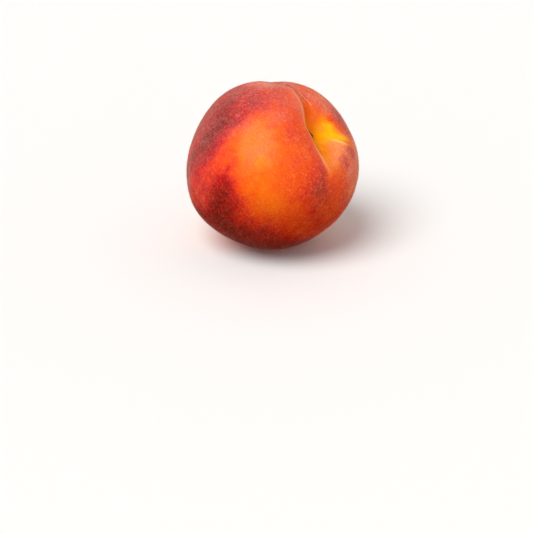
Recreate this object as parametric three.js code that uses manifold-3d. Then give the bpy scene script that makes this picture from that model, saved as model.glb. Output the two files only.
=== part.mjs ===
// A ripe yellow peach lying on its side cheek, stem cavity up and to the right.
// Millimetres, +Z up. The fruit stands on a small flat spot at z = 0 and the
// origin is the middle of the bottom of its bounding box.
//
// The fruit is one body. Its surface is a radius over directions, taken in the
// fruit's own axes: p runs from the middle to the suture side, q to one cheek
// and c up the stem axis. The stem scar is the woody stub left in the cavity.

import * as THREE from 'three';
import { mergeVertices } from 'three/addons/utils/BufferGeometryUtils.js';
import Module from 'manifold-3d';

// ---------------------------------------------------------------- dimensions

const MEAN_RADIUS = 36;            // half of a 72 mm fruit
const HEIGHT_RATIO = 0.985;        // stem to tip, over the mean diameter
const SUTURE_RATIO = 1.005;        // suture side to far side
const CHEEK_RATIO = 0.995;         // cheek to cheek

const STEM_AXIS = [0.611, -0.392, 0.688];     // where the stem cavity points
const SUTURE_OVER = [-0.02, 0.375, 0.927];    // where the suture crosses the top
const CENTRE = [-0.116, 0.267, 34.30];        // middle of the fruit
const FLAT_Z = 0;                             // the flat spot it rests on

const SHOULDER_RISE = 1.08;        // swelling of the shoulder round the cavity
const SHOULDER_AT = 44;            // degrees from the stem axis
const SHOULDER_WIDTH = 26;

const CAVITY_DEPTH = 10.8;         // below the shoulder, at the stem
const CAVITY_REACH_SUTURE = 13;    // degrees, along the suture
const CAVITY_REACH_BACK = 16;      // degrees, away from the suture

const GROOVE_DEPTH_NEAR = 3.2;     // suture groove where it leaves the cavity
const GROOVE_DEPTH_FAR = 0.68;     // and on the lower half
const GROOVE_FADE = 45;            // degrees
const CREASE_DEPTH = 0.32;         // thin crease at the bottom of the groove
const LIP_DIP = 1.3;               // where the groove's near lip drops over the top
const FUNNEL_DEPTH = 1.2;          // narrow pit at the very stem

const LOBE_RISE = 1.7;             // lobe that stands over the cavity's far wall
const LOBE_BEARING = -134;         // its crest, round the stem axis from p to q
const TIP_RISE = 0.72;             // the small point opposite the stem

const ROWS = 50;                   // mesh rows, stem to tip
const COLUMNS = 84;                // mesh columns round the stem axis

const SCAR_RADIUS = 2.0;           // woody stub at the bottom of the cavity
const SCAR_HEIGHT = 1.9;
const SCAR_LEAN = [1.4, -1.1];     // degrees from the stem axis, along p and q
const PIECE_GAP = 0.3;             // between the stub and the fruit

// broad uneven swells of the flesh: direction in p, q, c and height in mm
const SWELLS = [
  [-0.375, -0.664, 0.647, -0.42],
  [0.107, -0.576, 0.810, -1.06],
  [0.555, -0.323, 0.766, -0.45],
  [0.849, 0.028, 0.527, -0.58],
  [0.910, 0.383, 0.157, 0.39],
  [0.722, 0.647, -0.246, -1.00],
  [0.335, 0.748, -0.573, -0.23],
  [-0.148, 0.661, -0.736, 1.54],
  [-0.596, 0.408, -0.692, -0.72],
  [-0.890, 0.056, -0.453, -0.22],
  [-0.951, -0.298, -0.082, -1.33],
  [-0.763, -0.562, 0.320, -0.56],
];
const SWELL_SPREAD = 1 - Math.cos(24 * Math.PI / 180);

// lesser folds that run out from the stem: bearing, rise in mm, half width
const FOLDS = [[52, 0.22, 9], [112, -0.25, 9], [150, 0.18, 8]];

// ------------------------------------------------------------------- surface

const DEG = Math.PI / 180;
const sigmoid = (x) => 1 / (1 + Math.exp(-Math.max(-40, Math.min(40, x))));
const bell = (x) => Math.exp(-x * x);

// radius of the fruit in a direction given in its own axes (a unit vector)
function fruitRadius(p, q, c) {
  const fromStem = Math.acos(Math.max(-1, Math.min(1, c))) / DEG;
  const along = Math.atan2(p, c) / DEG;                         // along the suture plane
  const flat = Math.asin(Math.max(-1, Math.min(1, q))) / DEG;   // off the suture plane
  let r = MEAN_RADIUS / Math.sqrt((p / SUTURE_RATIO) ** 2 + (q / CHEEK_RATIO) ** 2 + (c / HEIGHT_RATIO) ** 2);
  for (const [sp, sq, sc, rise] of SWELLS) {
    r += rise * Math.exp((p * sp + q * sq + c * sc - 1) / SWELL_SPREAD);
  }
  r += SHOULDER_RISE * bell((fromStem - SHOULDER_AT) / SHOULDER_WIDTH);

  // the valley wanders a little off the suture plane
  const off = flat - 5.2 * sigmoid((-along - 12) / 5)
    - 0.7 * Math.sin((along - 20) / 24) * sigmoid((along - 20) / 8);

  // the cavity and the suture groove are one trough along the suture plane
  const cavity = along > 0
    ? CAVITY_DEPTH / (1 + (along / CAVITY_REACH_SUTURE) ** 2.6)
    : CAVITY_DEPTH / (1 + (-along / CAVITY_REACH_BACK) ** 3);
  const onSuture = sigmoid((along - 7) / 4) * sigmoid((174 - along) / 3);
  const groove = onSuture * (GROOVE_DEPTH_NEAR * Math.exp(-Math.max(along, 0) / GROOVE_FADE) + GROOVE_DEPTH_FAR);
  const nearWall = 6.5 + 4.6 * bell((along + 3) / 21) + 4.5 * bell((along - 68) / 20)
    - 2.0 * bell((along + 7.5) / 6);
  const farWall = 7.5 + 8.5 * bell((along - 3) / 21) + 2.0 * bell((along - 64) / 25);
  const steep = 1.7 + 1.3 * bell(along / (along > 0 ? 24 : 34));
  const across = off > 0 ? off / nearWall : -off / farWall;
  r -= (cavity + groove) / (1 + across ** steep) * Math.exp(-((off / 45) ** 4));
  r -= onSuture * CREASE_DEPTH * Math.exp(-((Math.abs(off) / 1.3) ** 1.4)) * sigmoid((along - 16) / 3);

  // on the far wall the lower lobe stands over the cavity, its crest running out
  // from the stem, with a shallow furrow before it
  const bearing = Math.atan2(q, p) / DEG;
  const crest = LOBE_BEARING + 8 * bell((fromStem - 12) / 2.5) + 1.0 * Math.max(fromStem - 17, 0);
  const turn = crest - bearing;                                 // goes on smoothly past 180
  const past = (turn < -180 ? turn + 360 : turn) * Math.sin(fromStem * DEG);
  const reach = sigmoid((fromStem - 11.5) / 1.0) * sigmoid((24.5 - fromStem) / 1.6) * sigmoid((-off - 4.0) / 1.8);
  r += LOBE_RISE * sigmoid(past / 0.4) * Math.exp(-Math.max(past, 0) / 9) * reach;
  r -= 0.4 * bell((past + 1.1) / 1.2) * reach;

  r -= LIP_DIP * bell((along - 46) / 10) * bell((off - 7) / 7);
  r -= FUNNEL_DEPTH * bell(fromStem / 6.5);
  for (const [at, rise, width] of FOLDS) {
    r += rise * bell((fromStem - 15) / 8) * bell((bearing - at) / width);
  }
  r += TIP_RISE * bell((180 - fromStem) / 6.5) - 0.36 * bell((180 - fromStem - 13) / 6);
  return r;
}

// the fruit's own axes in the part's frame
const axisC = new THREE.Vector3(...STEM_AXIS).normalize();
const over = new THREE.Vector3(...SUTURE_OVER).normalize();
const axisP = over.clone().addScaledVector(axisC, -over.dot(axisC)).normalize();
const axisQ = new THREE.Vector3().crossVectors(axisC, axisP);
const fruitFrame = new THREE.Matrix4().makeBasis(axisP, axisQ, axisC).setPosition(...CENTRE);

function bare(geometry) {
  geometry.deleteAttribute('normal');
  geometry.deleteAttribute('uv');
  return mergeVertices(geometry, 1e-5);
}

// ---------------------------------------------------------------- the fruit

function fruitGeometry() {
  // a sphere with its poles on the stem axis, its rows gathered at the cavity
  // and its columns gathered at the suture
  const sphere = bare(new THREE.SphereGeometry(1, COLUMNS, ROWS).rotateX(Math.PI / 2));
  const at = sphere.attributes.position;
  for (let i = 0; i < at.count; i++) {
    const x = at.getX(i), y = at.getY(i), z = at.getZ(i);
    const t = Math.acos(Math.max(-1, Math.min(1, z))) / Math.PI;
    const theta = Math.PI * t * (0.55 + 0.45 * t);
    const s = Math.atan2(y, x);
    const phi = s - 0.35 * Math.sin(s);
    const p = Math.sin(theta) * Math.cos(phi);
    const q = Math.sin(theta) * Math.sin(phi);
    const c = Math.cos(theta);
    const r = fruitRadius(p, q, c);
    at.setXYZ(i, p * r, q * r, c * r);
  }
  return sphere.applyMatrix4(fruitFrame);
}

// cuts the flat spot that the fruit rests on
async function withFlatSpot(geometry) {
  const wasm = await Module();
  wasm.setup();
  const solid = (g) => new wasm.Manifold(new wasm.Mesh({
    numProp: 3,
    vertProperties: new Float32Array(g.attributes.position.array),
    triVerts: new Uint32Array(g.index.array),
  }));
  const ground = bare(new THREE.BoxGeometry(200, 200, 40)).translate(0, 0, FLAT_Z - 20);
  const cut = solid(geometry).subtract(solid(ground)).getMesh();
  const out = new THREE.BufferGeometry();
  out.setAttribute('position', new THREE.BufferAttribute(new Float32Array(cut.vertProperties), 3));
  out.setIndex(new THREE.BufferAttribute(new Uint32Array(cut.triVerts), 1));
  return out;
}

// ------------------------------------------------------------ the stem scar

function scarGeometry() {
  // a short uneven plug whose foot follows the floor of the cavity
  const plug = bare(new THREE.CylinderGeometry(1, 1, 1, 18, 4).rotateX(Math.PI / 2));
  const at = plug.attributes.position;
  const p0 = Math.sin(SCAR_LEAN[0] * DEG), q0 = Math.sin(SCAR_LEAN[1] * DEG);
  const floor = fruitRadius(p0, q0, Math.sqrt(1 - p0 * p0 - q0 * q0));
  for (let i = 0; i < at.count; i++) {
    const up = at.getZ(i) + 0.5;                    // 0 at the foot, 1 at the top
    const turn = Math.atan2(at.getY(i), at.getX(i));
    const rim = Math.hypot(at.getX(i), at.getY(i));
    const uneven = 1 + 0.07 * Math.sin(3 * turn + 0.6) + 0.05 * Math.sin(7 * turn + 2);
    const waist = 1 - 0.10 * Math.sin(Math.PI * up) - 0.12 * up ** 3;
    const wide = SCAR_RADIUS * rim * uneven * waist;
    const x = floor * p0 + wide * Math.cos(turn);
    const y = floor * q0 + wide * Math.sin(turn);
    // height of the cavity floor under this point, by a short fixed search
    let z = floor;
    for (let k = 0; k < 12; k++) {
      const d = Math.hypot(x, y, z);
      z = Math.sqrt(Math.max(0, fruitRadius(x / d, y / d, z / d) ** 2 - x * x - y * y));
    }
    const foot = z + PIECE_GAP + 0.12;
    const top = floor + PIECE_GAP + SCAR_HEIGHT + 0.25 * Math.cos(turn - 1) * rim - 0.35 * rim * rim;
    at.setXYZ(i, x, y, foot + (top - foot) * up);
  }
  return plug.applyMatrix4(fruitFrame);
}

// ---------------------------------------------------------------- the object

const skin = new THREE.MeshStandardMaterial({ color: 0xe8562c, roughness: 0.62, metalness: 0 });
const wood = new THREE.MeshStandardMaterial({ color: 0x3a2415, roughness: 0.9, metalness: 0 });

const fruit = new THREE.Mesh(await withFlatSpot(fruitGeometry()), skin);
fruit.name = 'peach_fruit';

const scar = new THREE.Mesh(scarGeometry(), wood);
scar.name = 'stem_scar';

const peach = new THREE.Group();
peach.add(fruit, scar);

export default peach;
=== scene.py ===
"""A ripe yellow peach lying on its cheek, with its fuzz, blush and stem cavity.

Shapes are worked out in millimetres and put into the scene in metres. The fruit's
own axes are p (to the suture side), q (to one cheek) and c (up the stem axis).
Places on the skin are given either in those axes or as a bearing and a height seen
from the middle of the fruit: bearing 0 looks to -Y, 90 to +X, 180 to +Y.
"""

import math

import bpy
import numpy as np
from mathutils import Matrix, Vector


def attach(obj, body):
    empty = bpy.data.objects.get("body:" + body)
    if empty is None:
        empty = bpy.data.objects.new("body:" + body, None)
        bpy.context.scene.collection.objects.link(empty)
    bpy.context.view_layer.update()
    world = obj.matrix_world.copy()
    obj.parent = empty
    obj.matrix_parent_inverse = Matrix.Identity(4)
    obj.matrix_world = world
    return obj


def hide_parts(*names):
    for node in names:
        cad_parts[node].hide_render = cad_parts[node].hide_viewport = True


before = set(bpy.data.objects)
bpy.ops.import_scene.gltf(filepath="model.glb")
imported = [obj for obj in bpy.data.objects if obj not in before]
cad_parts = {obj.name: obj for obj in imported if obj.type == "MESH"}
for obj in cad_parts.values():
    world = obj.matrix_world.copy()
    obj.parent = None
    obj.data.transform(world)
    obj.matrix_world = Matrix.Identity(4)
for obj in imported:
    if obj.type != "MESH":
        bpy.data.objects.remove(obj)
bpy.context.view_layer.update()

# ------------------------------------------------------------------- the shape

MEAN_RADIUS = 36.0
HEIGHT_RATIO, SUTURE_RATIO, CHEEK_RATIO = 0.985, 1.005, 0.995
CENTRE = np.array([-0.116, 0.267, 34.30])


def unit(v):
    v = np.asarray(v, float)
    return v / np.linalg.norm(v, axis=-1, keepdims=True)


AXIS_C = unit([0.611, -0.392, 0.688])
_over = unit([-0.02, 0.375, 0.927])
AXIS_P = unit(_over - AXIS_C * (_over @ AXIS_C))
AXIS_Q = np.cross(AXIS_C, AXIS_P)
FRUIT_AXES = np.stack([AXIS_P, AXIS_Q, AXIS_C])     # rows: p, q, c in the part's frame

SWELLS = [
    (-0.375, -0.664, 0.647, -0.42), (0.107, -0.576, 0.810, -1.06),
    (0.555, -0.323, 0.766, -0.45), (0.849, 0.028, 0.527, -0.58),
    (0.910, 0.383, 0.157, 0.39), (0.722, 0.647, -0.246, -1.00),
    (0.335, 0.748, -0.573, -0.23), (-0.148, 0.661, -0.736, 1.54),
    (-0.596, 0.408, -0.692, -0.72), (-0.890, 0.056, -0.453, -0.22),
    (-0.951, -0.298, -0.082, -1.33), (-0.763, -0.562, 0.320, -0.56),
]
SWELL_SPREAD = 1 - math.cos(math.radians(24))
FOLDS = [(52, 0.22, 9), (112, -0.25, 9), (150, 0.18, 8)]


def sigmoid(x):
    return 1 / (1 + np.exp(-np.clip(x, -40, 40)))


def bell(x):
    return np.exp(-x * x)


def smooth(x, low, high):
    t = np.clip((x - low) / (high - low), 0, 1)
    return t * t * (3 - 2 * t)


def valley(p, q, c):
    """Degrees along the suture plane from the stem, and degrees off the valley's line."""
    along = np.degrees(np.arctan2(p, c))
    flat = np.degrees(np.arcsin(np.clip(q, -1, 1)))
    off = (flat - 5.2 * sigmoid((-along - 12) / 5)
           - 0.7 * np.sin((along - 20) / 24) * sigmoid((along - 20) / 8))
    return along, off


def past_crest(from_stem, bearing, off):
    """Degrees past the crest of the lobe beside the cavity, and how much of the lobe is there."""
    crest = -134 + 8 * bell((from_stem - 12) / 2.5) + 1.0 * np.maximum(from_stem - 17, 0)
    past = ((crest - bearing + 180) % 360 - 180) * np.sin(np.radians(from_stem))
    reach = sigmoid((from_stem - 11.5) / 1.0) * sigmoid((24.5 - from_stem) / 1.6) * sigmoid((-off - 4.0) / 1.8)
    return past, reach


def fruit_radius(p, q, c):
    """The CAD model's surface: a radius for each direction in the fruit's axes."""
    from_stem = np.degrees(np.arccos(np.clip(c, -1, 1)))
    r = MEAN_RADIUS / np.sqrt((p / SUTURE_RATIO) ** 2 + (q / CHEEK_RATIO) ** 2 + (c / HEIGHT_RATIO) ** 2)
    for sp, sq, sc, rise in SWELLS:
        r = r + rise * np.exp((p * sp + q * sq + c * sc - 1) / SWELL_SPREAD)
    r = r + 1.08 * bell((from_stem - 44) / 26)
    along, off = valley(p, q, c)
    ahead, behind = np.maximum(along, 0), np.maximum(-along, 0)
    cavity = np.where(along > 0, 10.8 / (1 + (ahead / 13) ** 2.6), 10.8 / (1 + (behind / 16) ** 3))
    on_suture = sigmoid((along - 7) / 4) * sigmoid((174 - along) / 3)
    groove = on_suture * (3.2 * np.exp(-ahead / 45) + 0.68)
    near_wall = 6.5 + 4.6 * bell((along + 3) / 21) + 4.5 * bell((along - 68) / 20) - 2.0 * bell((along + 7.5) / 6)
    far_wall = 7.5 + 8.5 * bell((along - 3) / 21) + 2.0 * bell((along - 64) / 25)
    steep = 1.7 + 1.3 * bell(along / np.where(along > 0, 24, 34))
    across = np.where(off > 0, off / near_wall, -off / far_wall)
    r = r - (cavity + groove) / (1 + across ** steep) * np.exp(-((off / 45) ** 4))
    r = r - on_suture * 0.32 * np.exp(-((np.abs(off) / 1.3) ** 1.4)) * sigmoid((along - 16) / 3)
    bearing = np.degrees(np.arctan2(q, p))
    past, reach = past_crest(from_stem, bearing, off)
    r = r + 1.7 * sigmoid(past / 0.4) * np.exp(-np.maximum(past, 0) / 9) * reach
    r = r - 0.4 * bell((past + 1.1) / 1.2) * reach
    r = r - 1.3 * bell((along - 46) / 10) * bell((off - 7) / 7)
    r = r - 1.2 * bell(from_stem / 6.5)
    for at, rise, width in FOLDS:
        r = r + rise * bell((from_stem - 15) / 8) * bell((bearing - at) / width)
    return r + 0.72 * bell((180 - from_stem) / 6.5) - 0.36 * bell((180 - from_stem - 13) / 6)


# ------------------------------------------------------------------- noise

def _lattice(ix, iy, iz, seed):
    h = ix * np.uint64(374761393) + iy * np.uint64(668265263) + iz * np.uint64(2246822519)
    h = h + np.uint64(seed * 3266489917 % 4294967296)
    h = h & np.uint64(0xFFFFFFFF)
    h = ((h ^ (h >> np.uint64(15))) * np.uint64(2246822519)) & np.uint64(0xFFFFFFFF)
    h = ((h ^ (h >> np.uint64(13))) * np.uint64(3266489917)) & np.uint64(0xFFFFFFFF)
    h = h ^ (h >> np.uint64(16))
    return h.astype(float) / 2147483647.5 - 1


def noise(at, size, seed=0):
    """Smooth noise in -1..1 at points in mm, with lumps about size mm wide."""
    g = at / size + 4096.0
    i = np.floor(g)
    f = g - i
    f = f * f * f * (f * (f * 6 - 15) + 10)
    i = i.astype(np.uint64)
    one = np.uint64(1)
    total = 0.0
    for dx in (0, 1):
        wx = f[:, 0] if dx else 1 - f[:, 0]
        ix = i[:, 0] + one if dx else i[:, 0]
        for dy in (0, 1):
            wy = f[:, 1] if dy else 1 - f[:, 1]
            iy = i[:, 1] + one if dy else i[:, 1]
            for dz in (0, 1):
                wz = f[:, 2] if dz else 1 - f[:, 2]
                iz = i[:, 2] + one if dz else i[:, 2]
                total = total + wx * wy * wz * _lattice(ix, iy, iz, seed)
    return total


def layered(at, size, octaves, seed=0, keep=0.55):
    """Noise with finer and finer lumps added, still about -1..1."""
    total, share, weight = 0.0, 0.0, 1.0
    for k in range(octaves):
        total = total + weight * noise(at + 17.3 * k, size / 2 ** k, seed + 31 * k)
        share += weight ** 2
        weight *= keep
    return total / math.sqrt(share)


# ------------------------------------------------------------------- skin relief

# puckers that run out of the stem cavity: bearing in the fruit's axes, depth in mm,
# half width in degrees at the scar, how far they reach in degrees from the stem
PUCKERS = [
    (-168, 0.30, 9, 17), (-141, 0.22, 8, 13), (-118, 0.34, 10, 20), (-93, 0.22, 8, 14),
    (-66, 0.26, 9, 16), (-39, 0.34, 10, 15), (-16, 0.20, 8, 12), (21, 0.26, 8, 13),
    (44, 0.34, 10, 18), (71, 0.22, 8, 13), (97, 0.30, 9, 17), (126, 0.24, 8, 14),
    (153, 0.32, 9, 18),
]


def skin_relief(p, q, c, at):
    """What the skin adds to the CAD surface, in mm: puckers, lumps and a fine grain."""
    from_stem = np.degrees(np.arccos(np.clip(c, -1, 1)))
    bearing = np.degrees(np.arctan2(q, p))
    wander = 6 * noise(at, 7.0, 5)
    dent = 0.0
    for b, depth, width, reach in PUCKERS:
        turn = (bearing + wander - b + 180) % 360 - 180
        spread = width * (0.75 + 0.25 * from_stem / reach)
        dent = dent + depth * np.exp(-np.abs(turn / spread) ** 1.5) * smooth(from_stem, 1.5, 5) * np.exp(-(from_stem / reach) ** 2.2)
    lumps = 0.11 * layered(at, 11.0, 2, 11) + 0.030 * noise(at, 3.1, 12)
    grain = 0.011 * noise(at, 1.25, 13)
    calm = smooth(from_stem, 4, 16)
    return -dent + (lumps + grain) * (0.35 + 0.65 * calm)


def flattened(at):
    """Sinks the fruit onto the plane z = 0, with a softly rounded edge to the flat spot."""
    out = at.copy()
    z = at[:, 2]
    out[:, 2] = (z + np.sqrt(z * z + 0.10 ** 2)) / 2
    return out


def skin_point(d):
    """Skin points in the part's frame, in mm, for unit directions in the fruit's axes."""
    p, q, c = d[:, 0], d[:, 1], d[:, 2]
    r = fruit_radius(p, q, c)
    rough = d * r[:, None]
    r = r + skin_relief(p, q, c, rough)
    return flattened((d * r[:, None]) @ FRUIT_AXES + CENTRE)


# ------------------------------------------------------------------- fruit mesh

CELLS = 126          # squares along each side of the six charts


def sphere_charts(n):
    """Unit directions, squares and their bake map: six charts of n by n squares."""
    side = np.linspace(-1, 1, n + 1)
    a, b = np.meshgrid(side, side, indexing="ij")
    ta, tb = np.tan(a * math.pi / 4), np.tan(b * math.pi / 4)
    one = np.ones_like(ta)
    faces = [
        (ta, tb, one), (tb, ta, -one),
        (one, ta, tb), (-one, tb, ta),
        (tb, one, ta), (ta, -one, tb),
    ]
    points, quads, maps = [], [], []
    for k, (x, y, z) in enumerate(faces):
        grid = np.stack([x, y, z], -1).reshape(-1, 3)
        start = k * (n + 1) ** 2
        i, j = np.meshgrid(np.arange(n), np.arange(n), indexing="ij")
        at = start + i * (n + 1) + j
        quads.append(np.stack([at, at + n + 1, at + n + 2, at + 1], -1).reshape(-1, 4))
        points.append(grid)
        col, row = k % 3, k // 3
        gap = 0.008
        u = (col + gap + (a + 1) / 2 * (1 - 2 * gap)) / 3
        v = (row + gap + (b + 1) / 2 * (1 - 2 * gap)) / 2
        maps.append(np.stack([u, v], -1).reshape(-1, 2))
    points, quads, maps = np.concatenate(points), np.concatenate(quads), np.concatenate(maps)
    points = unit(points)
    key = np.round(points * 1e7).astype(np.int64)
    _, first, back = np.unique(key, axis=0, return_index=True, return_inverse=True)
    back = back.reshape(-1)
    corner_maps = maps[quads]
    quads = back[quads]
    return points[first], quads, corner_maps


def gathered(d):
    """Draws the directions in towards the stem axis, where the detail is."""
    theta = np.arccos(np.clip(d[:, 2], -1, 1))
    turn = np.arctan2(d[:, 1], d[:, 0])
    theta = theta * (0.70 + 0.30 * theta / math.pi)
    return np.stack([np.sin(theta) * np.cos(turn), np.sin(theta) * np.sin(turn), np.cos(theta)], -1)


def new_mesh(name, points_mm, faces, smooth_shading=True):
    """A mesh object from points in mm and an array of faces with the same number of corners."""
    faces = np.asarray(faces)
    count, corners = faces.shape
    me = bpy.data.meshes.new(name)
    me.vertices.add(len(points_mm))
    me.vertices.foreach_set("co", (np.asarray(points_mm) * 0.001).astype(np.float32).ravel())
    me.loops.add(count * corners)
    me.loops.foreach_set("vertex_index", faces.astype(np.int32).ravel())
    me.polygons.add(count)
    me.polygons.foreach_set("loop_start", np.arange(0, count * corners, corners, dtype=np.int32))
    me.polygons.foreach_set("use_smooth", np.full(count, smooth_shading))
    me.update(calc_edges=True)
    me.validate()
    ob = bpy.data.objects.new(name, me)
    bpy.context.scene.collection.objects.link(ob)
    return ob


def point_attribute(ob, name, values):
    layer = ob.data.attributes.new(name, "FLOAT", "POINT")
    layer.data.foreach_set("value", np.asarray(values, np.float32))


def outward(points, quads):
    """Unit normals at the points of a mesh of squares."""
    a, b, c, d = (points[quads[:, k]] for k in range(4))
    face = np.cross(c - a, d - b)
    total = np.zeros_like(points)
    for k in range(4):
        for axis in range(3):
            total[:, axis] += np.bincount(quads[:, k], face[:, axis], len(points))
    return unit(total), np.linalg.norm(face, axis=1) / 2


directions, quads, corner_maps = sphere_charts(CELLS)
directions = gathered(directions)
skin = skin_point(directions)
normals, areas = outward(skin, quads)
if (np.einsum("ij,ij->i", normals, skin - CENTRE) < 0).mean() > 0.5:
    quads = quads[:, ::-1]
    corner_maps = corner_maps[:, ::-1]
    normals = -normals

# ------------------------------------------------------------------- the blush

def toward(bearing, height):
    a, h = np.radians(bearing), np.radians(height)
    return np.stack([np.sin(a) * np.cos(h), -np.cos(a) * np.cos(h), np.sin(h)], -1)


def stroke(d, path, softness=0.3):
    """1 on a stroke laid over the skin, falling to 0 past its width.

    path holds (bearing, height, half width), all in degrees.
    """
    best = np.full(len(d), 1e9)
    path = np.asarray(path, float)
    ends = toward(path[:, 0], path[:, 1])
    if len(path) == 1:
        away = np.degrees(np.arccos(np.clip(d @ ends[0], -1, 1)))
        best = away / path[0, 2]
    for k in range(len(path) - 1):
        a, b = ends[k], ends[k + 1]
        t = np.clip(((d - a) @ (b - a)) / ((b - a) @ (b - a)), 0, 1)
        near = unit(a + t[:, None] * (b - a))
        away = np.degrees(np.arccos(np.clip((d * near).sum(1), -1, 1)))
        wide = path[k, 2] + t * (path[k + 1, 2] - path[k, 2])
        best = np.minimum(best, away / wide)
    return sigmoid((1 - best) / (softness / 2.2))


def paint(field, mask, level):
    field += (level - field) * mask


P, Q, C = directions.T
ALONG, OFF = valley(P, Q, C)
FROM_STEM = np.degrees(np.arccos(np.clip(C, -1, 1)))
BEARING = np.degrees(np.arctan2(Q, P))
where = unit(skin - CENTRE)
on_ball = directions * MEAN_RADIUS

# the edges of the blush wander, more along the lines that run from stem to tip
meridian = np.stack([
    np.cos(np.radians(BEARING)) * np.sin(np.radians(FROM_STEM)) * MEAN_RADIUS,
    np.sin(np.radians(BEARING)) * np.sin(np.radians(FROM_STEM)) * MEAN_RADIUS,
    FROM_STEM * 0.628 * 0.16,
], -1)
streaks = layered(meridian, 2.6, 3, 40)
drift = np.stack([layered(on_ball, 10.0, 3, s) for s in (21, 22, 23)], -1) * 1.7
drift += np.stack([noise(on_ball, 2.4, s) for s in (24, 25, 26)], -1) * 0.45
drifted = unit(where * MEAN_RADIUS + drift)
mottle = layered(on_ball, 5.0, 4, 60)

# 0 is yellow, 0.5 orange, 0.7 red, 0.85 crimson, 1 and over maroon
blush = np.full(len(skin), 0.52)
bloom_and_sheen = np.full(len(skin), 0.03)


def blush_stroke(level, path, softness=0.3, strength=1.0):
    paint(blush, stroke(drifted, path, softness) * strength, level)


def bloom_and_sheen_stroke(level, path, softness=0.5, strength=1.0):
    paint(bloom_and_sheen, stroke(drifted, path, softness) * strength, level)


# sides that the sun saw less: orange to golden
blush_stroke(0.30, [(165, -2, 24), (140, -22, 24), (110, -46, 18)], 0.8)
blush_stroke(0.56, [(98, 22, 18), (92, 2, 18), (84, -22, 18), (60, -50, 14)], 0.8)
blush_stroke(0.34, [(-140, -48, 20), (-122, -43, 18), (-150, -72, 20)], 0.9)
# lighter orange down the front
blush_stroke(0.38, [(-14, 47, 9), (-13, 38, 12), (-11, 28, 12), (-10, 18, 10)], 0.9)
blush_stroke(0.46, [(-12, 10, 8), (-6, 2, 11), (-1, -6, 12), (6, -12, 10)], 0.8)
blush_stroke(0.62, [(8, -24, 10), (-2, -22, 8), (22, -20, 9)], 0.9, 0.9)
# red-orange between it and the cavity, and down to the right
blush_stroke(0.62, [(40, 72, 12), (24, 62, 12), (20, 52, 9), (22, 42, 9), (26, 31, 9)], 0.8)
blush_stroke(0.60, [(22, 18, 9), (20, 6, 8), (20, -8, 8)], 0.9, 0.7)
blush_stroke(0.60, [(44, 12, 8), (47, 4, 8), (46, -8, 10)], 0.9, 0.8)
# crimson over the top
blush_stroke(0.65, [(-22, 62, 8), (10, 71, 12), (60, 79, 14)], 0.8, 0.9)
blush_stroke(0.77, [(150, 68, 20), (130, 80, 20), (-57, 77, 16), (-60, 65, 18)], 0.6)
# painted sheen: a lighter colour along the top edge, under the haze there
blush_stroke(0.60, [(-91, 79, 6), (-66, 86, 6), (162, 80, 7), (143, 71, 6)], 0.9, 0.8)
blush_stroke(0.59, [(44, 64, 5), (40, 72, 5), (93, 72, 5)], 0.9, 0.7)
blush_stroke(0.68, [(20, 55, 4)], 0.9, 0.8)
blush_stroke(0.53, [(-8, 56, 6), (6, 55, 7)], 0.9, 0.85)
# the sun side, maroon, darkest along its inner edge
blush_stroke(0.87, [(-84, 52, 18), (-73, 44, 25), (-73, 34, 26.5), (-77, 24, 26.5), (-83, 12, 24), (-92, -2, 16)], 0.30)
blush_stroke(0.90, [(-114, 48, 26), (-132, 34, 30), (-132, 6, 24)], 0.5)
blush_stroke(0.78, [(-152, 52, 22), (-170, 34, 20), (-174, 10, 14)], 0.9)
blush_stroke(0.98, [(-62, 52, 6), (-56, 43, 8), (-56, 33, 8.5), (-60, 23, 8), (-67, 12, 6)], 0.9, 0.9)
# its edge runs through clear crimson into the orange
blush_stroke(0.82, [(-22, 61, 5), (-32, 53, 6.0), (-39, 42, 5.0), (-42, 34, 3.0)], 1.0, 0.85)
blush_stroke(0.83, [(-47.5, 34, 3.0), (-47, 27, 4.0), (-50, 20, 4.0), (-57, 10, 4.0)], 0.9)
blush_stroke(0.95, [(-76, 6, 5), (-78, -4, 5)], 0.9)
blush_stroke(0.84, [(-74, 64, 6)], 0.9, 0.8)
blush_stroke(0.97, [(-54, 34, 4), (-52, 27, 3)], 0.9, 0.6)
blush_stroke(0.86, [(-38, 59, 4), (-30, 52, 4), (-36, 43, 4)], 0.9, 0.6)
blush_stroke(0.50, [(-31, 37, 3.5)], 0.9, 0.7)
blush_stroke(0.62, [(-28, 23, 3), (-28, 18, 3)], 0.9, 0.8)
# a flame of red, and the dark patch below it
blush_stroke(0.735, [(-48, 8, 8), (-55, 4, 8), (-62, -8, 6)], 0.9)
blush_stroke(0.84, [(-57, 14, 4), (-57, 6, 4)], 0.9, 0.8)
blush_stroke(0.80, [(-31, 16, 2.2), (-31, 12, 4.2), (-32, 8, 6.5), (-34, 3, 9)], 0.9)
blush_stroke(0.86, [(-33, 6, 5), (-32, 0, 8), (-29, -8, 8)], 0.9)
blush_stroke(0.97, [(-36, -1, 6), (-40, -9, 10.5), (-40, -17, 15.5), (-39, -25, 17), (-33, -35, 15)], 0.55)
blush_stroke(0.90, [(-80, -24, 12), (-62, -28, 12), (-48, -40, 12)], 0.6)
blush_stroke(0.69, [(-55, -7, 4)], 0.9, 0.9)
blush_stroke(0.82, [(-45, -2, 3)], 0.9, 0.7)
# under the front, darker red to maroon: partly the skin's own colour, partly painted shade
blush_stroke(0.76, [(-20, -13, 3.5), (-14, -21, 4.5), (-6, -25, 4)], 0.9)
blush_stroke(0.86, [(-20, -29, 8), (-7, -32, 8), (12, -36, 7)], 0.9, 0.9)
blush_stroke(1.02, [(-30, -50, 13), (-8, -50, 12), (14, -51, 11), (38, -48, 10)], 0.6)
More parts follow.
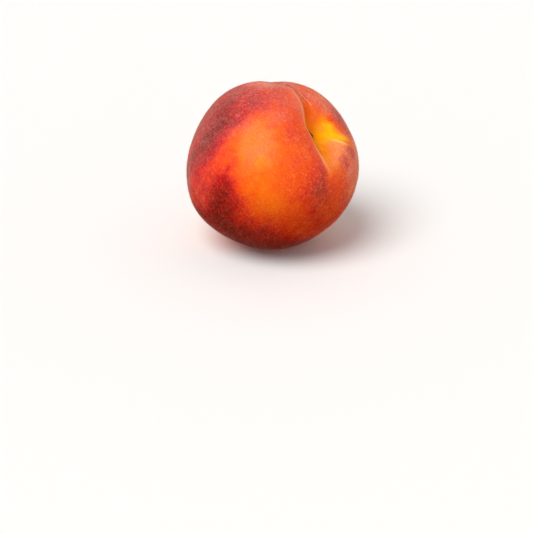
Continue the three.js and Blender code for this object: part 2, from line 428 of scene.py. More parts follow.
# right of the front: brown-red under heavy fuzz
blush_stroke(0.84, [(34, 21, 3), (33, 11, 6), (30, 2, 9), (31, -7, 8), (28, -12, 5)], 0.9, 0.95)
blush_stroke(0.72, [(27, 17, 2.5), (26, 12, 2.5)], 0.9, 0.8)
blush_stroke(0.65, [(78, 10, 10), (72, -2, 10), (67, -10, 9)], 0.8)
blush_stroke(0.68, [(66, -16, 9), (56, -24, 9), (42, -36, 10)], 0.8)
blush_stroke(0.69, [(41, 11, 4), (50, 4, 5), (53, -4, 5)], 0.9, 0.8)
blush_stroke(0.74, [(36, -14, 5), (34, -22, 6)], 0.9, 0.85)

# ------------------------------------------------------------------- cavity colours

# the upper lobe: red beside the cavity, maroon over its shoulder
blush_stroke(0.65, [(112, 64, 13), (99, 57, 12), (92, 46, 9), (86, 33, 5)], 0.8)
blush_stroke(0.50, [(86, 42, 4), (83, 46, 4)], 0.9)
blush_stroke(0.72, [(128, 58, 12), (118, 44, 12), (110, 28, 10), (104, 12, 8), (98, 0, 6)], 1.0, 0.8)
blush_stroke(0.60, [(112, 57, 6), (104, 52, 6)], 0.9, 0.9)
blush_stroke(0.69, [(101, 63, 4)], 0.9, 0.6)
blush_stroke(0.88, [(100, 40, 4), (98, 37, 5), (93, 30, 5.5), (88, 22, 5), (82, 14, 5), (80, 4, 3)], 1.0, 0.9)
# yellow fills the cavity and runs out over the low lobe's crest and down the valley
past, lobe = past_crest(FROM_STEM, BEARING, OFF)
reach = 14.0 - 3.5 * bell((BEARING - 80) / 60) + 1.6 * noise(on_ball, 6.0, 70) + 1.6 * streaks
cavity_yellow = sigmoid((reach - FROM_STEM) / 1.6)
paint(blush, cavity_yellow, 0.20)
paint(blush, stroke(drifted, [(76, 60, 3.5), (75, 54, 4), (78, 48, 4)], 0.9), 0.39)
paint(blush, bell((past + 2.6) / 2.8) * lobe * sigmoid((22 - FROM_STEM) / 1.5), 0.16)
yellow = stroke(drifted, [(77, 39, 2.2), (72, 34, 4.0), (72, 31, 3.8), (76, 26, 2.6)], 1.0)
paint(blush, stroke(drifted, [(80, 42, 4.0), (70, 44, 4.0)], 0.9), 0.22)
paint(blush, stroke(drifted, [(56, 37, 3.6), (59, 32, 3.6)], 0.9), 0.14)
paint(blush, yellow, 0.02)
paint(blush, stroke(drifted, [(75, 22, 2.0), (78, 18, 2.0)], 1.0), 0.40)
paint(blush, stroke(drifted, [(86, 42, 2.6), (84, 35, 2.6), (82, 29, 2.2)], 0.9), 0.60)
# painted shade: amber to orange in the cavity beside the ridge, where the near cheek shades it
ridge_shade = sigmoid((OFF + 8.0 - 0.10 * np.maximum(ALONG, 0) - 4.8 * sigmoid((-ALONG - 18) / 2.5)) / 1.6) * sigmoid((27 - FROM_STEM) / 1.5) * sigmoid((6.5 - OFF) / 1.5)
paint(blush, ridge_shade * sigmoid((ALONG + 4) / 3), 0.30 + 0.20 * smooth(ALONG, 6, 20))
paint(blush, stroke(drifted, [(50, 32, 3.5), (44, 26, 4.5), (42, 21, 4.0), (42, 16, 3.0)], 0.8), 0.28)
paint(blush, stroke(drifted, [(57, 24, 5), (50, 20, 5), (46, 14, 5)], 0.9) * sigmoid((past - 0.6) / 0.8), 0.42)
paint(blush, stroke(drifted, [(56, 16, 2.2), (54, 12, 2.5)], 1.0), 0.64)
paint(blush, stroke(drifted, [(69, 20, 3.0), (71, 15, 3.5)], 1.0), 0.84)
paint(blush, stroke(drifted, [(60, 17, 1.6), (59, 11, 2.2)], 1.0), 0.80)
# painted sheen: a lighter colour down the right edge
paint(blush, stroke(drifted, [(85, 18, 5), (82, 9, 5)], 0.9) * 0.8, 0.52)

hidden = smooth(-where @ toward(0, 22), -0.2, 0.5)     # 0 in front, 1 behind
blush += 0.042 * mottle + (0.045 + 0.05 * hidden) * streaks * smooth(FROM_STEM, 14, 30)
# the pale bloom of the fuzz; along the fruit's edges as seen from the front it is painted sheen as well
bloom_and_sheen_stroke(0.32, [(-92, 60, 15), (-82, 44, 17), (-80, 28, 18), (-82, 10, 18), (-86, -6, 14)], 0.9)
# painted sheen along the left edge
bloom_and_sheen_stroke(0.52, [(-75, 8, 6), (-76, -3, 6)], 0.9)
bloom_and_sheen_stroke(0.25, [(60, 80, 20), (-50, 76, 14)])
# painted sheen along the top edge
bloom_and_sheen_stroke(0.74, [(-91, 79, 6), (-66, 86, 6), (162, 80, 7.5), (143, 71, 6.5)], 0.9)
bloom_and_sheen_stroke(0.28, [(44, 63, 4), (60, 70, 5), (93, 70, 4)], 0.9)
bloom_and_sheen_stroke(0.24, [(-20, 54, 6), (-6, 55, 7), (8, 54, 6)], 0.9)
bloom_and_sheen_stroke(0.14, [(-30, 53, 5), (-36, 43, 5), (-41, 34, 5)], 0.9)
bloom_and_sheen_stroke(0.07, [(30, 15, 5), (33, 8, 7), (33, -4, 8)])
bloom_and_sheen_stroke(0.13, [(32, -2, 5), (34, -10, 5)], 0.9)
bloom_and_sheen_stroke(0.13, [(34, 16, 4), (32, 9, 4)], 0.9)
bloom_and_sheen_stroke(0.06, [(-50, 6, 9), (-56, 0, 8)], 0.9)
bloom_and_sheen_stroke(0.01, [(-33, 8, 5), (-36, -6, 7), (-43, -15, 8)], 0.9)
bloom_and_sheen_stroke(0.10, [(-57, -4, 5)], 0.9)
bloom_and_sheen_stroke(0.09, [(20, 38, 7), (22, 28, 8)], 0.9)
# painted sheen down the right edge
bloom_and_sheen_stroke(0.66, [(82, 14, 13), (75, 0, 12), (68, -7, 7)], 1.0)
bloom_and_sheen_stroke(0.82, [(85, 17, 7), (83, 10, 7)], 0.9)
bloom_and_sheen_stroke(0.44, [(67, 18, 6), (66, 8, 7)], 0.9)
# painted sheen along the upper lobe's edge
bloom_and_sheen_stroke(0.22, [(100, 59, 14), (96, 46, 12), (90, 31, 9)], 1.0)
bloom_and_sheen_stroke(0.52, [(112, 58, 8), (108, 44, 10), (100, 30, 9)], 1.0)
bloom_and_sheen_stroke(0.10, [(86, 41, 3.5), (85, 34, 3.5)], 0.9)
# painted sheen along the top edge over the upper lobe
bloom_and_sheen_stroke(0.34, [(118, 72, 5), (94, 71, 4), (108, 67, 5)], 0.9)
bloom_and_sheen_stroke(0.17, [(-13, 42, 9), (-12, 32, 10)])
paint(bloom_and_sheen, stroke(drifted, [(64, 27, 6), (56, 22, 6.5), (49, 21, 5)], 0.9) * sigmoid((past - 2.2) / 0.8), 0.50)
bloom_and_sheen_stroke(0.05, [(43, 12, 4)], 0.9)
paint(bloom_and_sheen, np.maximum(cavity_yellow, ridge_shade), 0.0)
paint(bloom_and_sheen, np.clip(1.3 * yellow, 0, 1), 0.0)
paint(bloom_and_sheen, stroke(drifted, [(79, 50, 4), (78, 43, 5)], 0.8), 0.03)
paint(bloom_and_sheen, stroke(drifted, [(75, 27, 3), (76, 23, 3)], 0.9), 0.10)
# painted light on the cheek along its lip over the cavity, and a painted highlight, paler still, on the lip's edge
lip_at = np.interp(ALONG, [-33, -28, -23, -18, -12, -6, 0, 7, 14, 20, 28, 39, 60], [0, 3.2, 5.2, 7.3, 9.7, 11.9, 13.3, 12.6, 10.4, 8.8, 8.0, 5.5, 4.0])
in_from_lip = OFF - lip_at
along_lip = sigmoid((ALONG + 30) / 2.6) * sigmoid((44 - ALONG) / 7)
painted_cheek_light = sigmoid((in_from_lip + 1.4) / 0.5) * bell(np.maximum(in_from_lip - 1.5, 0) / 4.5) * along_lip
painted_cheek_light = painted_cheek_light * (0.45 + 0.45 * smooth(ALONG, -8, 10)) * (1 - 0.25 * np.clip(mottle, -1, 1))
# painted highlight: a pale line along the lip's edge
lip_highlight = bell(in_from_lip / 1.3) * along_lip
bloom_and_sheen = np.clip(bloom_and_sheen * (1 + 0.45 * mottle), 0, 1)
blush = np.clip(blush, 0, 1.2)

# painted shade low down (a deeper, browner colour), pale cream on the lobe's crest that is partly a painted highlight,
# pale flecks, a dark line by the suture, and painted shade round the foot of the stem scar
height_now = np.degrees(np.arcsin(np.clip(drifted[:, 2], -1, 1)))
# painted shade: the colour grows darker and browner towards the bottom, less so behind
low_shade = smooth(-height_now, -12, 34) * (1 - 0.6 * hidden)
# pale cream along the crest of the lobe beside the cavity: partly the yellow ground running onto the crest, partly a
# painted highlight
crest_cream_highlight = bell((past - 0.7) / np.where(past < 0.7, 1.3, 1.6)) * lobe * sigmoid((FROM_STEM - 13.5) / 1.2) * sigmoid((22 - FROM_STEM) / 2.0)
bearing_now = np.degrees(np.arctan2(drifted[:, 0], -drifted[:, 1]))
# painted shade: less blue in the colour low on the front
low_front_shade = smooth(-height_now, -28, 6) * (1 - smooth(np.abs(bearing_now), 38, 58))
flecks = 0.25 + 0.75 * stroke(drifted, [(22, 34, 10), (17, 26, 10), (22, 18, 10), (16, 8, 8)], 0.9)
# how rough the fuzz looks: coarser low on both sides and on the lobes
rough = np.ones(len(skin))
for much, path in ((0.85, [(-82, 44, 17), (-80, 20, 18)]), (1.4, [(-36, -10, 8), (-38, -24, 14), (-22, -38, 8)]),
                   (2.1, [(72, 8, 12), (62, -8, 12), (40, -20, 8)]), (1.5, [(118, 66, 9), (104, 52, 12), (98, 38, 8)]),
                   (2.1, [(62, 24, 7), (54, 18, 6)]), (1.25, [(24, 24, 8), (30, 4, 10)])):
    paint(rough, stroke(drifted, path, 0.8), much)
rough = rough * (1 - 0.6 * np.maximum(cavity_yellow, yellow))
line = bell((OFF + 1.9 + 0.35 * np.sin(ALONG / 3.1)) / 0.8) * sigmoid((ALONG - 25) / 1.5) * sigmoid((64 - ALONG) / 8)
line = line * sigmoid((noise(on_ball, 2.6, 77) + 0.35) / 0.25)
# painted shade: a dark ring round the foot of the stem scar
scar_shade_ring = bell((FROM_STEM - 3.0) / 2.8) * (0.8 + 0.5 * noise(on_ball, 1.2, 78))
stain_and_shade = np.clip(np.maximum(0.75 * line, scar_shade_ring), 0, 1)

skin_ob = new_mesh("peach_skin", skin, quads)
layer = skin_ob.data.uv_layers.new(name="OFBake")
layer.data.foreach_set("uv", corner_maps.reshape(-1).astype(np.float32))
for name, values in (("blush", blush / 1.2), ("bloom_and_sheen", bloom_and_sheen), ("low_shade", low_shade), ("crest_cream_highlight", crest_cream_highlight), ("painted_cheek_light", painted_cheek_light),
                     ("lip_highlight", lip_highlight), ("low_front_shade", low_front_shade), ("rough", rough), ("flecks", flecks), ("stain_and_shade", stain_and_shade),
                     ("freckles", 0.25 + 0.75 * hidden)):
    point_attribute(skin_ob, name, values)


def skin_spot(bearing, height):
    """The place on the skin, in the scene's metres, nearest to a bearing and height."""
    return Vector(skin[np.argmax(where @ toward(bearing, height))] * 0.001)

# ------------------------------------------------------------------- stem scar

SCAR_LEAN = np.radians([1.4, -1.1])


def cavity_floor(x, y):
    """Height up the stem axis of the skin at (x, y) mm from the axis."""
    z = np.full_like(x, 25.0)
    for _ in range(40):
        d = unit(np.stack([x, y, z], -1))
        r = fruit_radius(d[:, 0], d[:, 1], d[:, 2])
        r = r + skin_relief(d[:, 0], d[:, 1], d[:, 2], d * r[:, None])
        z = np.sqrt(np.maximum(r * r - x * x - y * y, 0))
    return z


def scar_mesh():
    around, rings = 120, 34
    turn = np.linspace(0, 2 * math.pi, around, endpoint=False)
    p0, q0 = np.sin(SCAR_LEAN)
    floor0 = float(fruit_radius(np.array([p0]), np.array([q0]), np.array([math.sqrt(1 - p0 * p0 - q0 * q0)]))[0])
    # s runs from the middle of the top (0) over the rim (1) down to the foot (2)
    s = np.concatenate([np.linspace(0.03, 1, rings), 1 + np.linspace(0, 1, 16)[1:]])
    T, S = np.meshgrid(turn, s, indexing="ij")
    t, s = T.ravel(), S.ravel()
    ragged = 1 + 0.07 * np.sin(3 * t + 0.6) + 0.05 * np.sin(7 * t + 2) + 0.03 * np.sin(13 * t + 1)
    down = np.clip(s - 1, 0, 1)
    wide = 1.78 * ragged * np.minimum(s, 1) * (1 + 0.10 * down)
    x, y = wide * np.cos(t), wide * np.sin(t)
    here = np.stack([x, y, 0 * x], -1)
    top = floor0 + 1.95 - 0.30 * np.minimum(s, 1) ** 2
    bowl = -0.55 * bell((np.minimum(s, 1) - 0.34) / 0.30) - 0.45 * smooth(np.minimum(s, 1), 0.85, 1.0)
    crumbs = 0.26 * noise(here, 0.55, 81) + 0.16 * noise(here, 0.27, 82) + 0.12 * noise(here, 0.14, 83)
    z_top = top + bowl + crumbs * smooth(np.minimum(s, 1), 0.0, 0.15)
    fibres = 0.06 * noise(np.stack([np.cos(t) * 9, np.sin(t) * 9, down * 1.5], -1), 0.8, 84)
    floor = cavity_floor(floor0 * p0 + x, floor0 * q0 + y)
    z = z_top * (1 - down) + (floor - 0.5) * down
    x, y = x * (1 + fibres * smooth(s, 0.8, 1)), y * (1 + fibres * smooth(s, 0.8, 1))
    points = np.stack([floor0 * p0 + x, floor0 * q0 + y, z], -1)
    n, m = around, S.shape[1]
    grid = np.arange(n * m).reshape(n, m)
    nxt = np.roll(grid, -1, axis=0)
    walls = np.stack([grid[:, :-1], grid[:, 1:], nxt[:, 1:], nxt[:, :-1]], -1).reshape(-1, 4)
    # a small lid in the middle and a floor under the foot, both as fans of triangles
    lid = points[grid[:, 0]].mean(0) + [0, 0, 0.02]
    foot = points[grid[:, -1]].mean(0)
    points = np.concatenate([points, lid[None], foot[None]])
    a, b = len(points) - 2, len(points) - 1
    top_fan = np.stack([np.full(n, a), grid[:, 0], nxt[:, 0]], -1)
    foot_fan = np.stack([np.full(n, b), nxt[:, -1], grid[:, -1]], -1)
    tris = np.concatenate([walls[:, [0, 1, 2]], walls[:, [0, 2, 3]], top_fan, foot_fan])
    world = points @ FRUIT_AXES + CENTRE
    ob = new_mesh("stem_stub", world, tris)
    rimness = np.concatenate([smooth(s, 0.55, 1.0), [0, 1]])
    # painted shade: the bowl in the scar's top is darkened nearly to black
    hollow_shade = np.concatenate([bell((np.minimum(s, 1) - 0.36) / 0.26), [0.4, 0]])
    point_attribute(ob, "rimness", rimness)
    point_attribute(ob, "hollow_shade", hollow_shade)
    return ob


scar_ob = scar_mesh()

# ------------------------------------------------------------------- fuzz


def hairs(name, roots, up, length, width, seed):
    """One closed three-sided spike per hair, each leaning its own way off the skin."""
    rng = np.random.default_rng(seed)
    n = len(roots)
    comb = np.stack([noise(roots, 4.5, s) for s in (91, 92, 93)], -1) * 1.3
    side = comb + rng.normal(size=(n, 3)) * 0.8
    side -= up * (side * up).sum(1)[:, None]
    side = unit(side)
    lean = rng.uniform(0.25, 1.15, n)[:, None]
    way = unit(up + side * lean)
    a = unit(np.cross(way, rng.normal(size=(n, 3))))
    b = np.cross(way, a)
    long = (length * rng.uniform(0.65, 1.25, n))[:, None]
    foot = roots - up * 0.06
    corners = [foot + width / 2 * (a * math.cos(k) + b * math.sin(k)) for k in (0, 2 * math.pi / 3, 4 * math.pi / 3)]
    tip = foot + way * long
    points = np.stack([*corners, tip], 1)
    keep = points[:, :, 2].min(1) > 0.02
    points = points[keep].reshape(-1, 3)
    base = np.arange(keep.sum())[:, None] * 4
    tris = np.concatenate([base + t for t in ([0, 1, 3], [1, 2, 3], [2, 0, 3], [0, 2, 1])])
    return new_mesh(name, points, tris)


def fuzz_roots(count, seed):
    """Random places spread evenly over the skin: their positions, outward directions, blush and stem angle."""
    rng = np.random.default_rng(seed)
    share = np.cumsum(areas)
    face = np.searchsorted(share, rng.uniform(0, share[-1], count))
    u, v = rng.uniform(size=(2, count, 1))
    k = quads[face]

    def blend(x):
        return (x[k[:, 0]] * (1 - u) + x[k[:, 1]] * u) * (1 - v) + (x[k[:, 3]] * (1 - u) + x[k[:, 2]] * u) * v

    return blend(skin), unit(blend(normals)), blend(blush[:, None])[:, 0], blend(FROM_STEM[:, None])[:, 0]


roots, root_up, root_blush, root_stem = fuzz_roots(168000, 7)
root_length = 0.58 * (0.5 + 0.5 * smooth(root_stem, 6, 24)) * (0.8 + 0.25 * layered(roots, 7.0, 2, 95))
thinned = np.random.default_rng(8).uniform(size=len(roots)) < 0.25 + 0.75 * smooth(root_stem, 9, 24)
on_ground = np.nonzero((root_stem > 5.5) & thinned)[0]
# four pieces with as many hairs in each, from those on the yellowest skin to those on the darkest
shade = root_blush[on_ground] + 0.07 * np.random.default_rng(9).normal(size=len(on_ground))
on_ground = on_ground[np.argsort(shade)]
fuzz_pieces = []
for k, name in enumerate(("fuzz_gold", "fuzz_coral", "fuzz_rose", "fuzz_plum")):
    chosen = np.array_split(on_ground, 4)[k]
    print(name, len(chosen), "hairs, blush", root_blush[chosen].mean().round(2))
    fuzz_pieces.append(hairs(name, roots[chosen], root_up[chosen], root_length[chosen], 0.030, 5 + k))

# ------------------------------------------------------------------- materials


class Nodes:
    """Short names for building a node tree."""

    def __init__(self, name):
        self.material = bpy.data.materials.new(name)
        self.material.use_nodes = True
        self.tree = self.material.node_tree
        self.tree.nodes.clear()
        out = self.tree.nodes.new("ShaderNodeOutputMaterial")
        self.shader = self.tree.nodes.new("ShaderNodeBsdfPrincipled")
        self.tree.links.new(self.shader.outputs[0], out.inputs[0])

    def node(self, kind, **settings):
        n = self.tree.nodes.new(kind)
        for k, v in settings.items():
            setattr(n, k, v)
        return n

    def put(self, value, socket):
        if isinstance(value, bpy.types.NodeSocket):
            self.tree.links.new(value, socket)
        elif value is not None:
            socket.default_value = value

    def attribute(self, name):
        return self.node("ShaderNodeAttribute", attribute_name=name).outputs["Fac"]

    def place(self):
        return self.node("ShaderNodeTexCoord").outputs["Object"]

    def noise(self, size_mm, detail=2.0, rough=0.5, distortion=0.0, stretch=None):
        n = self.node("ShaderNodeTexNoise")
        n.inputs["Scale"].default_value = 1000.0 / size_mm
        n.inputs["Detail"].default_value = detail
        n.inputs["Roughness"].default_value = rough
        n.inputs["Distortion"].default_value = distortion
        at = self.place()
        if stretch:
            m = self.node("ShaderNodeMapping")
            m.inputs["Rotation"].default_value = stretch[0]
            m.inputs["Scale"].default_value = stretch[1]
            self.tree.links.new(at, m.inputs["Vector"])
            at = m.outputs["Vector"]
        self.tree.links.new(at, n.inputs["Vector"])
        return n.outputs["Fac"]

    def math(self, op, a, b=None, c=None, clamp=False):
        n = self.node("ShaderNodeMath", operation=op, use_clamp=clamp)
        for v, s in zip((a, b, c), n.inputs):
            self.put(v, s)
        return n.outputs[0]

    def remap(self, v, a, b, c=0.0, d=1.0):
        n = self.node("ShaderNodeMapRange")
        self.put(v, n.inputs["Value"])
        for name, x in (("From Min", a), ("From Max", b), ("To Min", c), ("To Max", d)):
            n.inputs[name].default_value = x
        return n.outputs["Result"]

    def ramp(self, v, stops, how="LINEAR"):
        n = self.node("ShaderNodeValToRGB")
        n.color_ramp.interpolation = how
        e = n.color_ramp.elements
        while len(e) < len(stops):
            e.new(0.5)
        for el, (at, colour) in zip(e, stops):
            el.position = at
            el.color = (*colour, 1)
        self.put(v, n.inputs["Fac"])
        return n.outputs["Color"]

    def mix(self, share, a, b, how="MIX"):
        n = self.node("ShaderNodeMix", data_type="RGBA", blend_type=how)
        self.put(share, n.inputs[0])
        self.put(a if isinstance(a, bpy.types.NodeSocket) else (*a, 1), n.inputs[6])
        self.put(b if isinstance(b, bpy.types.NodeSocket) else (*b, 1), n.inputs[7])
        return n.outputs[2]

    def dots(self, apart_mm, radius):
        """Round soft dots about apart_mm from each other; radius is a share of that."""
        n = self.node("ShaderNodeTexVoronoi", feature="F1")
        n.inputs["Scale"].default_value = 1000.0 / apart_mm
        self.put(self.place(), n.inputs["Vector"])
        return self.remap(n.outputs["Distance"], radius * 0.4, radius, 1.0, 0.0)

    def vector(self, op, a, b=None):
        n = self.node("ShaderNodeVectorMath", operation=op)
        for v, s in zip((a, b), n.inputs):
            self.put(v, s)
        return n.outputs["Value"] if op in ("DOT_PRODUCT", "LENGTH") else n.outputs["Vector"]

    def scratch(self, start, end, width_mm):
        """A ragged line on the skin between two places in the scene."""
        wobble = self.vector("MULTIPLY", self.vector("SUBTRACT", self.noise_vector(1.3), (0.5, 0.5, 0.5)), (0.0009,) * 3)
        at = self.vector("SUBTRACT", self.vector("ADD", self.place(), wobble), tuple(start))
        way = end - start
        t = self.math("DIVIDE", self.vector("DOT_PRODUCT", at, tuple(way)), way.length_squared, clamp=True)
        scale = self.node("ShaderNodeVectorMath", operation="SCALE")
        scale.inputs[0].default_value = tuple(way)
        self.put(t, scale.inputs["Scale"])
        away = self.vector("LENGTH", self.vector("SUBTRACT", at, scale.outputs["Vector"]))
        line = self.remap(away, width_mm * 0.00045, width_mm * 0.0011, 1.0, 0.0)
        return self.math("MULTIPLY", line, self.remap(self.noise(0.8, 2.0, 0.6), 0.36, 0.56, 0.25, 1.0))

    def noise_vector(self, size_mm):
        n = self.node("ShaderNodeTexNoise")
        n.inputs["Scale"].default_value = 1000.0 / size_mm
        self.put(self.place(), n.inputs["Vector"])
        return n.outputs["Color"]

    def bump(self, height, strength, distance_mm):
        n = self.node("ShaderNodeBump")
        n.inputs["Strength"].default_value = strength
        n.inputs["Distance"].default_value = distance_mm * 0.001
        self.put(height, n.inputs["Height"])
        return n.outputs["Normal"]


def skin_material():
    m = Nodes("peach skin")
    s = m.shader.inputs
    blush = m.attribute("blush")
    bloom_and_sheen = m.attribute("bloom_and_sheen")
    fine = m.noise(0.9, 3.0, 0.6)
    speck = m.noise(0.42, 2.0, 0.6)
    curl = m.noise(1.5, 3.0, 0.55, distortion=1.2)
    # tufts of fuzz that catch the light, plain on red skin and faint on orange
    fuzzy = m.remap(blush, 0.36, 0.56, 0.15, 1.0)
    tufts = m.math("MULTIPLY", m.remap(m.noise(1.25, 2.0, 0.75), 0.50, 0.66), fuzzy)
    grain = m.math("ADD", m.remap(fine, 0.25, 0.75, -0.05, 0.05), m.remap(speck, 0.25, 0.75, -0.05, 0.05))
    grain = m.math("MULTIPLY_ADD", tufts, -0.085, grain)
    grain = m.math("MULTIPLY", grain, m.attribute("rough"))
    grain = m.math("MULTIPLY_ADD", m.dots(2.3, 0.24), m.math("MULTIPLY", m.attribute("freckles"), 0.13), grain)
    level = m.math("ADD", blush, grain)
    # from the yellow ground (0) through orange (0.48), red (0.68) and crimson (0.8) to maroon (1 and over)
    shades = [
        (0.00, (0.96, 0.58, 0.002)), (0.15, (0.95, 0.39, 0.001)), (0.28, (0.91, 0.26, 0.001)),
        (0.38, (0.88, 0.176, 0.004)), (0.48, (0.85, 0.106, 0.003)), (0.58, (0.82, 0.064, 0.006)),
        (0.68, (0.74, 0.036, 0.014)), (0.78, (0.54, 0.009, 0.018)), (0.88, (0.33, 0.005, 0.010)),
        (1.00, (0.17, 0.005, 0.006)), (1.16, (0.075, 0.004, 0.004)),
    ]
    colour = m.ramp(level, [(at / 1.2, shade) for at, shade in shades])
    haze = m.ramp(level, [
        (0.00, (0.98, 0.66, 0.34)), (0.42, (0.92, 0.42, 0.27)), (0.66, (0.66, 0.32, 0.26)),
        (0.85, (0.44, 0.22, 0.19)), (1.00, (0.34, 0.18, 0.16)),
    ])
    # the veil mixes in the pale bloom of the fuzz, painted sheen along the edges included
    veil = m.math("MULTIPLY", bloom_and_sheen, m.remap(speck, 0.35, 0.65, 0.25, 1.75), clamp=True)
    colour = m.mix(veil, colour, haze)
    colour = m.mix(m.math("MULTIPLY", tufts, m.remap(bloom_and_sheen, 0.02, 0.15, 0.012, 0.085)), colour, (0.80, 0.50, 0.44))
    # dimmer between the tufts
    between = m.math("MULTIPLY", m.remap(m.noise(0.8, 2.0, 0.7), 0.36, 0.58, 1.0, 0.0), fuzzy)
    colour = m.mix(between, colour, (0.86, 0.72, 0.72), "MULTIPLY")
    # painted shade: less blue low on the front
    colour = m.mix(m.attribute("low_front_shade"), colour, (0.97, 1.0, 0.40), "MULTIPLY")
    # painted shade: darker and browner towards the bottom
    colour = m.mix(m.attribute("low_shade"), colour, (0.50, 0.31, 0.06), "MULTIPLY")
    pale = m.math("MULTIPLY", m.attribute("flecks"), m.remap(curl, 0.58, 0.70, 0.0, 0.46), clamp=True)
    colour = m.mix(pale, colour, (0.98, 0.38, 0.15))
    # painted light: a brighter orange on the cheek along the lip of the cavity
    colour = m.mix(m.math("MULTIPLY", m.attribute("painted_cheek_light"), m.remap(speck, 0.3, 0.7, 0.75, 1.1), clamp=True), colour, (1.0, 0.17, 0.085))
    # painted highlight: the lip's edge paler still
    colour = m.mix(m.math("MULTIPLY", m.attribute("lip_highlight"), m.remap(fine, 0.3, 0.7, 0.62, 1.0), clamp=True), colour, (1.0, 0.43, 0.21))
    # pale cream along the lobe's crest, partly a painted highlight
    crest_cream_highlight = m.math("MULTIPLY", m.attribute("crest_cream_highlight"), m.remap(fine, 0.2, 0.6, 0.7, 1.0), clamp=True)
    colour = m.mix(crest_cream_highlight, colour, (1.0, 0.72, 0.22))
    for start, end, width, strength in (((102, 71), (86, 66), 0.34, 0.85), ((87, 64.5), (83, 60), 0.26, 0.55),
                                        ((-66, 4), (-71, -2), 0.16, 0.30), ((118, 18), (122, 9), 0.22, 0.35),
                                        ((-150, 22), (-155, 15), 0.20, 0.30)):
        scuff = m.math("MULTIPLY", m.scratch(skin_spot(*start), skin_spot(*end), width), strength)
        colour = m.mix(scuff, colour, (0.97, 0.57, 0.40))
    # a dark stain line by the suture, and painted shade round the foot of the stem scar
    stain_and_shade = m.math("MULTIPLY", m.attribute("stain_and_shade"), m.remap(fine, 0.3, 0.7, 0.55, 1.0), clamp=True)
    colour = m.mix(stain_and_shade, colour, (0.10, 0.022, 0.006))
    m.put(colour, s["Base Color"])
    m.put(m.remap(fine, 0.2, 0.8, 0.56, 0.74), s["Roughness"])
    s["Specular IOR Level"].default_value = 0.005
    s["Sheen Weight"].default_value = 0.17
    s["Sheen Roughness"].default_value = 0.22
    s["Sheen Tint"].default_value = (1.0, 0.80, 0.72, 1)
    s["Subsurface Weight"].default_value = 0.10
    s["Subsurface Radius"].default_value = (1.0, 0.30, 0.12)
    s["Subsurface Scale"].default_value = 0.0022
    height = m.math("ADD", m.math("MULTIPLY", speck, 0.6), fine)
    m.put(m.bump(height, 0.35, 0.10), s["Normal"])
    return m.material


def scar_material():
    m = Nodes("stem scar wood")
    s = m.shader.inputs
    fine = m.noise(0.30, 4.0, 0.65)
    fibre = m.noise(0.9, 3.0, 0.6)
    dark = m.ramp(fine, [
        (0.25, (0.018, 0.008, 0.004)),
        (0.45, (0.060, 0.030, 0.015)),
        (0.62, (0.150, 0.085, 0.045)),
        (0.80, (0.300, 0.200, 0.115)),
    ])
    # painted shade: darker in the bowl of the scar's top
    colour = m.mix(m.math("MULTIPLY", m.attribute("hollow_shade"), 0.7), dark, (0.020, 0.009, 0.005))
    m.put(colour, s["Base Color"])
    m.put(m.remap(fibre, 0.2, 0.8, 0.75, 0.95), s["Roughness"])
    s["Specular IOR Level"].default_value = 0.2
    m.put(m.bump(fine, 0.6, 0.12), s["Normal"])
    return m.material


def fuzz_material(name, colour):
    m = Nodes(name)
    m.shader.inputs["Base Color"].default_value = (*colour, 1)
    m.shader.inputs["Roughness"].default_value = 0.6
    m.shader.inputs["Specular IOR Level"].default_value = 0.2
    return m.material


skin_ob.data.materials.append(skin_material())
scar_ob.data.materials.append(scar_material())
for piece, name, colour in zip(fuzz_pieces, ("gold", "coral", "rose", "plum"),
                               ((0.98, 0.54, 0.07), (0.96, 0.36, 0.10), (0.84, 0.24, 0.15), (0.54, 0.16, 0.12))):
    piece.data.materials.append(fuzz_material("fuzz on " + name, colour))

shown = [(skin_ob, "peach_fruit", "peach_skin"), (scar_ob, "stem_scar", "stem_wood")]
shown += [(piece, "peach_fruit", "peach_skin") for piece in fuzz_pieces]
for piece, node, slot in shown:
    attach(piece, "root")
    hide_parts(node)

# ------------------------------------------------------------------- stage

floor_me = bpy.data.meshes.new("floor")
floor_me.from_pydata([(-40, -40, 0), (40, -40, 0), (40, 40, 0), (-40, 40, 0)], [], [(0, 1, 2, 3)])
floor = bpy.data.objects.new("floor", floor_me)
bpy.context.scene.collection.objects.link(floor)
floor_nodes = Nodes("pale floor")
floor_nodes.shader.inputs["Base Color"].default_value = (0.90, 0.897, 0.892, 1)
floor_nodes.shader.inputs["Roughness"].default_value = 0.7
floor_nodes.shader.inputs["Specular IOR Level"].default_value = 0.2
floor_me.materials.append(floor_nodes.material)

scene = bpy.context.scene
world = bpy.data.worlds.new("studio")
scene.world = world
world.use_nodes = True
world.node_tree.nodes["Background"].inputs["Color"].default_value = (1.0, 0.99, 0.98, 1)
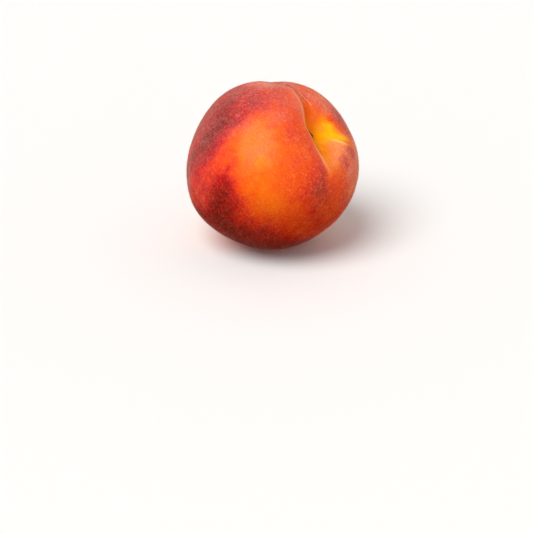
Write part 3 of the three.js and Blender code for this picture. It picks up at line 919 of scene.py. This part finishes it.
# the studio's walls are white low down and dimmer above
_direction = world.node_tree.nodes.new("ShaderNodeTexCoord")
_split = world.node_tree.nodes.new("ShaderNodeSeparateXYZ")
_wall = world.node_tree.nodes.new("ShaderNodeMapRange")
_wall.interpolation_type = "SMOOTHSTEP"
for _name, _value in (("From Min", 0.20), ("From Max", 0.48), ("To Min", 1.0), ("To Max", 0.42)):
    _wall.inputs[_name].default_value = _value
world.node_tree.links.new(_direction.outputs["Generated"], _split.inputs[0])
world.node_tree.links.new(_split.outputs["Z"], _wall.inputs["Value"])
world.node_tree.links.new(_wall.outputs["Result"], world.node_tree.nodes["Background"].inputs["Strength"])


def sun(name, toward_light, strength, angle, colour):
    data = bpy.data.lights.new(name, "SUN")
    data.energy = strength
    data.angle = math.radians(angle)
    data.color = colour
    ob = bpy.data.objects.new(name, data)
    ob.rotation_mode = "QUATERNION"
    ob.rotation_quaternion = Vector(toward_light).normalized().to_track_quat("Z", "Y")
    bpy.context.scene.collection.objects.link(ob)


sun("soft key", (-0.50, -0.62, 1.15), 2.47, 40, (1.0, 0.985, 0.96))

# ------------------------------------------------------------------- camera

DISTANCE = 0.620            # from the middle of the fruit
DOWN = math.radians(22)     # the line of sight to the fruit falls this much
LENS, SENSOR, FRAME = 100.0, 36.0, 533.0
SEEN_AT = (6.5, 101.1)      # the fruit's middle, right of and above the middle of the frame, in pixels

centre = Vector(CENTRE * 0.001)
cam_data = bpy.data.cameras.new("camera")
cam_data.lens = LENS
cam_data.sensor_width = SENSOR
cam_data.clip_start, cam_data.clip_end = 0.01, 200
cam = bpy.data.objects.new("camera", cam_data)
bpy.context.scene.collection.objects.link(cam)
cam.location = centre + DISTANCE * Vector((0, -math.cos(DOWN), math.sin(DOWN)))
focal = LENS / SENSOR * FRAME
up_by = math.atan2(SEEN_AT[1], focal)
right_by = math.atan2(SEEN_AT[0], focal)
cam.rotation_mode = "XYZ"
cam.rotation_euler = (math.pi / 2 - DOWN - up_by, 0, right_by)
scene.camera = cam
scene.view_settings.view_transform = "Standard"
scene.view_settings.look = "None"
